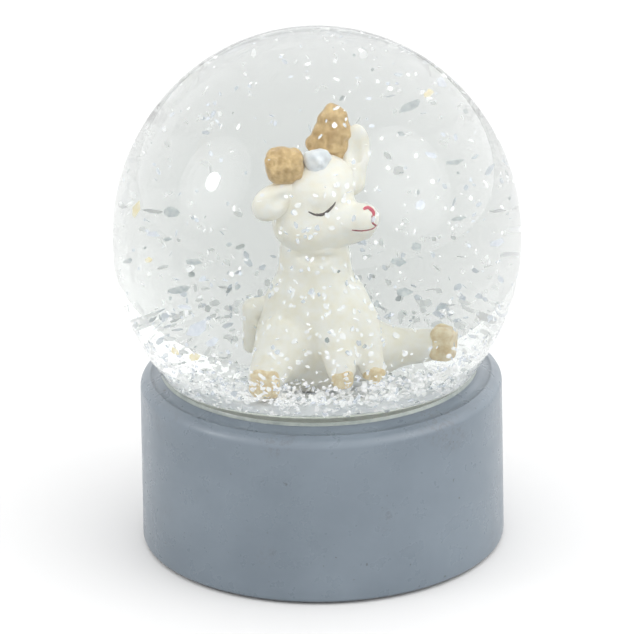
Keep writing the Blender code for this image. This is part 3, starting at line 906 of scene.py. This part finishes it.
def make_fillings():
    """Materials for the CAD nodes that no sculpted piece replaces."""
    grain = {"grain": 0.5, "grain_scale": 900}
    assign("snow_mound", painted("snow", srgb(232, 236, 240), srgb(246, 248, 250), 400, 0.6, **grain))
    # painted shade: the bed is a darker, greener grey than the snow, for the shade and the tint of the
    # thick glass low in the ball
    bed = painted("flake_bed_painted_shade_and_light", srgb(204, 211, 200), srgb(222, 227, 218), 400, 0.6, **grain)
    # painted light: the imported flakes glow a little, standing in for the light that they pass on to one
    # another
    glow = bed.node_tree.nodes["Principled BSDF"].inputs
    glow["Emission Color"].default_value = (*srgb(214, 219, 210), 1.0)
    glow["Emission Strength"].default_value = 0.2
    assign("settled_flakes", bed)
    assign("base_pad", painted("pad_foam", srgb(226, 226, 222), srgb(238, 238, 235), 800, 0.9))
    assign("rubber_plug", painted("plug_rubber", srgb(200, 200, 196), srgb(214, 214, 210), 300, 0.75))
    glue = painted("adhesive", srgb(150, 152, 132), srgb(170, 172, 152), 300, 0.3)
    assign("seat_adhesive", glue)
    assign("plug_sealant", glue)


# Studio -----------------------------------------------------------------------------------------


def make_sky():
    """A pale sky, brighter overhead and towards the right."""
    world = bpy.data.worlds.new("studio")
    bpy.context.scene.world = world
    world.use_nodes = True
    nodes, links = world.node_tree.nodes, world.node_tree.links
    coords = nodes.new("ShaderNodeTexCoord")
    toward = nodes.new("ShaderNodeSeparateXYZ")
    links.new(coords.outputs["Generated"], toward.inputs["Vector"])
    sky = ramp(nodes, links, toward.outputs["Z"], [(0.15, (SKY_LOW,) * 3), (1.0, (SKY_HIGH,) * 3)])
    across = nodes.new("ShaderNodeMapRange")
    across.inputs["From Min"].default_value = -1.0
    across.inputs["To Min"].default_value = SKY_LEFT
    across.inputs["To Max"].default_value = SKY_RIGHT
    links.new(toward.outputs["X"], across.inputs["Value"])
    tinted = mix(nodes, links, 1.0, sky, across.outputs["Result"], "MULTIPLY")
    links.new(tinted, nodes["Background"].inputs["Color"])
    nodes["Background"].inputs["Strength"].default_value = 1.0


def make_floor():
    """The pale floor that the globe stands on."""
    corners = [(x * FLOOR_REACH, y * FLOOR_REACH, 0) for x, y in ((-1, -1), (1, -1), (1, 1), (-1, 1))]
    mesh = bpy.data.meshes.new("floor")
    mesh.from_pydata(corners, [], [(0, 1, 2, 3)])
    floor = bpy.data.objects.new("floor", mesh)
    bpy.context.scene.collection.objects.link(floor)
    mesh.materials.append(new_material("floor", Base_Color=(FLOOR_TONE,) * 3 + (1,), Roughness=0.9)[0])


def make_lights():
    """Each softbox is a stack of discs, so that its mirror image fades towards the edge."""
    for name, direction, distance, radius, radiance in SOFTBOXES:
        light = bpy.data.lights.new(name, "AREA")
        light.shape = "DISK"
        light.size = 2 * radius
        light.energy = radiance * math.pi * math.pi * radius * radius
        obj = bpy.data.objects.new(name, light)
        obj.location = BALL_CENTRE + direction * distance
        obj.rotation_mode = "QUATERNION"
        obj.rotation_quaternion = (-direction).to_track_quat("-Z", "Y")
        bpy.context.scene.collection.objects.link(obj)


def make_camera():
    """The camera that the photograph was fitted with."""
    back = Vector((0.0, -math.cos(CAMERA_ELEVATION), math.sin(CAMERA_ELEVATION)))
    place = CAMERA_ORBIT + back * CAMERA_DISTANCE
    camera = bpy.data.cameras.new("camera")
    camera.sensor_width = 36.0
    camera.lens = CAMERA_LENS
    obj = bpy.data.objects.new("camera", camera)
    obj.location = place
    turn = (CAMERA_AIM - place).to_track_quat("-Z", "Y").to_matrix().to_4x4()
    obj.rotation_mode = "QUATERNION"
    obj.rotation_quaternion = (turn @ Matrix.Rotation(CAMERA_ROLL, 4, "Z")).to_quaternion()
    bpy.context.scene.collection.objects.link(obj)
    bpy.context.scene.camera = obj


bpy.context.scene.view_settings.view_transform = "Standard"
make_camera()
make_sky()
make_floor()
make_lights()
make_base()
make_adhesive_line()
make_fillings()
fawn = make_fawn()
make_face(fawn)
flake_paints = flake_mats()
make_afloat(flake_paints)
make_settled(fawn, flake_paints)
make_liquid()
make_glass()
